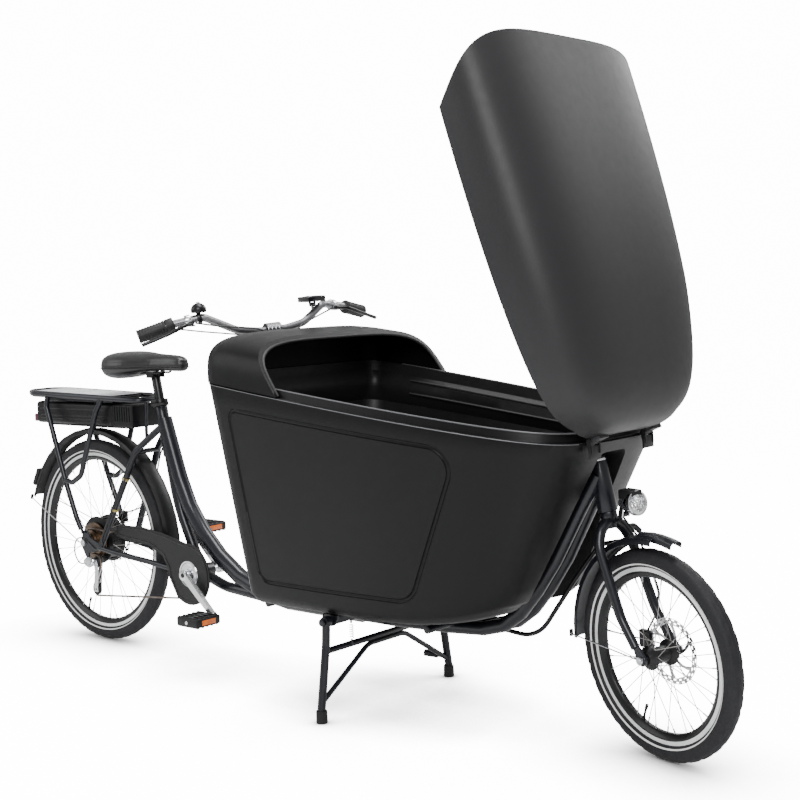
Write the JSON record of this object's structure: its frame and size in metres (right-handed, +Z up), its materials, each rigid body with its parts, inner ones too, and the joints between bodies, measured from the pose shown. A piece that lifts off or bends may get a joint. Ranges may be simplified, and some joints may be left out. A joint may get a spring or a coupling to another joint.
{
  "type": "cargo bicycle",
  "caption": "Two-wheeled cargo bicycle with a moulded box and hinged lid ahead of the rider, rod steering, rack battery and a folding two-legged stand.",
  "frame": {"origin": "centre of the cargo floor inside the box", "axes": "+X towards the front wheel, +Y to the rider's left, +Z up"},
  "size_m": [2.712, 0.7457, 1.7033],
  "materials": {
    "frame_paint": "gloss",
    "box_plastic": "fine grain",
    "lid_plastic": "fine grain, slight sheen",
    "black_plastic": "satin",
    "tyre_rubber": "matte with pale sidewall line",
    "grip_rubber": "matte",
    "rim_alloy": "machined",
    "polished_alloy": "polished",
    "bar_alloy": "anodised satin",
    "black_alloy": "black anodised",
    "steel": "satin",
    "cassette_steel": "bronzed",
    "chain_steel": "oiled",
    "saddle_vinyl": "vinyl over foam",
    "lamp_chrome": "bright",
    "tail_red": "clear gloss",
    "screen_black": "gloss"
  },
  "bodies": {
    "battery_body": {"battery": "black_plastic", "rear_light": "tail_red"},
    "brake_lever_left_body": {"brake_lever_left": "black_alloy"},
    "brake_lever_right_body": {"brake_lever_right": "black_alloy"},
    "cassette": {"cassette_sprockets": "cassette_steel"},
    "column": {"bell": "black_alloy", "brake_mount_left": "black_alloy", "brake_mount_right": "black_alloy", "grip_left": "grip_rubber", "grip_right": "grip_rubber", "handlebar": "bar_alloy", "steering_column": "black_alloy"},
    "crankset": {"chainring": "polished_alloy", "crank_left": "polished_alloy", "crank_right": "polished_alloy"},
    "display_body": {"display": "screen_black"},
    "display_button_body": {"display_button": "black_plastic"},
    "fork_body": {"fork": "frame_paint", "front_axle": "steel", "front_brake_caliper": "black_alloy", "front_mudguard": "frame_paint"},
    "front_wheel": {"front_brake_rotor": "steel", "front_hub": "black_alloy", "front_rim": "rim_alloy", "front_tyre": "tyre_rubber"},
    "jockey_lower_body": {"jockey_wheel_lower": "black_plastic"},
    "jockey_upper_body": {"jockey_wheel_upper": "black_plastic"},
    "lamp_body": {"headlamp": "lamp_chrome"},
    "lid_body": {"lid_shell": "lid_plastic"},
    "pedal_left_body": {"pedal_left": "black_plastic"},
    "pedal_right_body": {"pedal_right": "black_plastic"},
    "rear_wheel": {"rear_brake_rotor": "steel", "rear_hub": "black_alloy", "rear_rim": "rim_alloy", "rear_tyre": "tyre_rubber"},
    "rod_body": {"tie_rod": "black_alloy"},
    "root": {"battery_dock": "black_plastic", "box_hood": "box_plastic", "box_tub": "box_plastic", "chain": "chain_steel", "chain_guard": "black_plastic", "hinge_bracket_left": "black_plastic", "hinge_bracket_right": "black_plastic", "main_frame": "frame_paint", "rack_frame": "frame_paint", "rear_axle": "steel", "rear_brake_caliper": "black_alloy", "rear_derailleur": "black_alloy", "rear_mudguard": "black_plastic", "seat_clamp": "black_alloy", "stand_bracket": "frame_paint"},
    "saddle_body": {"saddle_base": "black_plastic", "saddle_cushion": "saddle_vinyl"},
    "seat_lever_body": {"seat_clamp_lever": "black_alloy"},
    "seatpost_body": {"seatpost": "black_alloy"},
    "shifter_body": {"twist_shifter": "grip_rubber"},
    "stand_body": {"stand_foot_left": "grip_rubber", "stand_foot_right": "grip_rubber", "stand_frame": "frame_paint", "stand_spring": "steel"}
  },
  "joints": [
    {"name": "rear_wheel_spin", "type": "hinge", "parent": "root", "child": "rear_wheel", "pos_m": [-1.25, 0, 0.0465], "axis": [0, 1, 0], "continuous": true},
    {"name": "front_wheel_spin", "type": "hinge", "parent": "fork_body", "child": "front_wheel", "pos_m": [0.86911, -0.02116, -0.03411], "axis": [0.268, 0.9617, 0.057], "continuous": true},
    {"name": "crank_spin", "type": "hinge", "parent": "root", "child": "crankset", "pos_m": [-0.757, 0, -0.01], "axis": [0, 1, 0], "continuous": true},
    {"name": "cassette_spin", "type": "hinge", "parent": "root", "child": "cassette", "pos_m": [-1.25, 0, 0.0465], "axis": [0, 1, 0], "continuous": true},
    {"name": "jockey_upper_spin", "type": "hinge", "parent": "root", "child": "jockey_upper_body", "pos_m": [-1.228, -0.045, -0.02], "axis": [0, 1, 0], "continuous": true},
    {"name": "jockey_lower_spin", "type": "hinge", "parent": "root", "child": "jockey_lower_body", "pos_m": [-1.23, -0.045, -0.11], "axis": [0, 1, 0], "continuous": true},
    {"name": "pedal_right_spin", "type": "hinge", "parent": "crankset", "child": "pedal_right_body", "pos_m": [-0.62601, 0, -0.11836], "axis": [0, 1, 0], "continuous": true},
    {"name": "pedal_left_spin", "type": "hinge", "parent": "crankset", "child": "pedal_left_body", "pos_m": [-0.88799, 0, 0.09836], "axis": [0, 1, 0], "continuous": true},
    {"name": "steer", "type": "hinge", "parent": "root", "child": "column", "pos_m": [-0.397, 0, 0.733], "axis": [-0.2079, 0, 0.9781], "range_deg": [-19.1, 50.9]},
    {"name": "steer_fork", "type": "hinge", "parent": "root", "child": "fork_body", "pos_m": [0.74045, 0, 0.214], "axis": [-0.2079, 0, 0.9781], "range_deg": [-19.1, 50.9]},
    {"name": "steer_rod", "type": "hinge", "parent": "column", "child": "rod_body", "pos_m": [-0.21204, 0.08175, -0.02516], "axis": [-0.2079, 0, 0.9781], "range_deg": [-50.9, 19.1]},
    {"name": "headlamp_tilt", "type": "hinge", "parent": "fork_body", "child": "lamp_body", "pos_m": [0.77658, -0.01447, 0.28839], "axis": [0.268, 0.9617, 0.057], "range_deg": [-10, 15], "stiffness_Nm_per_rad": 2},
    {"name": "brake_lever_right_squeeze", "type": "hinge", "parent": "column", "child": "brake_lever_right_body", "pos_m": [-0.48927, -0.22136, 0.7614], "axis": [0.0078, 0.057, -0.9983], "range_deg": [0, 10], "stiffness_Nm_per_rad": 2},
    {"name": "brake_lever_left_squeeze", "type": "hinge", "parent": "column", "child": "brake_lever_left_body", "pos_m": [-0.36278, 0.23258, 0.78829], "axis": [-0.0078, -0.057, 0.9983], "range_deg": [0, 10], "stiffness_Nm_per_rad": 2},
    {"name": "gear_shifter_twist", "type": "hinge", "parent": "column", "child": "shifter_body", "pos_m": [-0.53979, -0.24832, 0.76081], "axis": [-0.5531, -0.7752, -0.3052], "range_deg": [0, 110]},
    {"name": "display_tilt", "type": "hinge", "parent": "column", "child": "display_body", "pos_m": [-0.38054, 0.15054, 0.79981], "axis": [0.268, 0.9617, 0.057], "range_deg": [-20, 20], "stiffness_Nm_per_rad": 2},
    {"name": "display_button_press", "type": "slide", "parent": "display_body", "child": "display_button_body", "axis": [0.0078, 0.057, -0.9983], "range_m": [0, 0.001], "stiffness_N_per_m": 200},
    {"name": "lid_hinge", "type": "hinge", "parent": "root", "child": "lid_body", "pos_m": [0.765, 0, 0.471], "axis": [0, -1, 0], "range_deg": [-3, 66], "stiffness_Nm_per_rad": 80},
    {"name": "stand_fold", "type": "hinge", "parent": "root", "child": "stand_body", "pos_m": [-0.003, 0, -0.024], "axis": [0, 1, 0], "range_deg": [0, 30], "deforming": ["stand_spring"]},
    {"name": "seatpost_slide", "type": "slide", "parent": "root", "child": "seatpost_body", "axis": [-0.1972, 0, 0.9804], "range_m": [-0.035, 0.08], "stiffness_N_per_m": 8000},
    {"name": "saddle_tilt", "type": "hinge", "parent": "seatpost_body", "child": "saddle_body", "pos_m": [-0.93478, 0, 0.59543], "axis": [0, 1, 0], "range_deg": [-6, 6], "stiffness_Nm_per_rad": 60},
    {"name": "seat_clamp_turn", "type": "hinge", "parent": "root", "child": "seat_lever_body", "pos_m": [-0.92203, -0.026, 0.5072], "axis": [0, 0, -1], "range_deg": [0, 80]},
    {"name": "battery_slide", "type": "slide", "parent": "root", "child": "battery_body", "axis": [-1, 0, 0], "range_m": [0, 0.4]}
  ],
  "couplings": [
    {"joint": "steer_fork", "follows": "steer", "ratio": 1},
    {"joint": "steer_rod", "follows": "steer", "ratio": -1},
    {"joint": "cassette_spin", "follows": "crank_spin", "ratio": 1.7701},
    {"joint": "jockey_upper_spin", "follows": "crank_spin", "ratio": -3.4685},
    {"joint": "jockey_lower_spin", "follows": "crank_spin", "ratio": 3.4685}
  ]
}
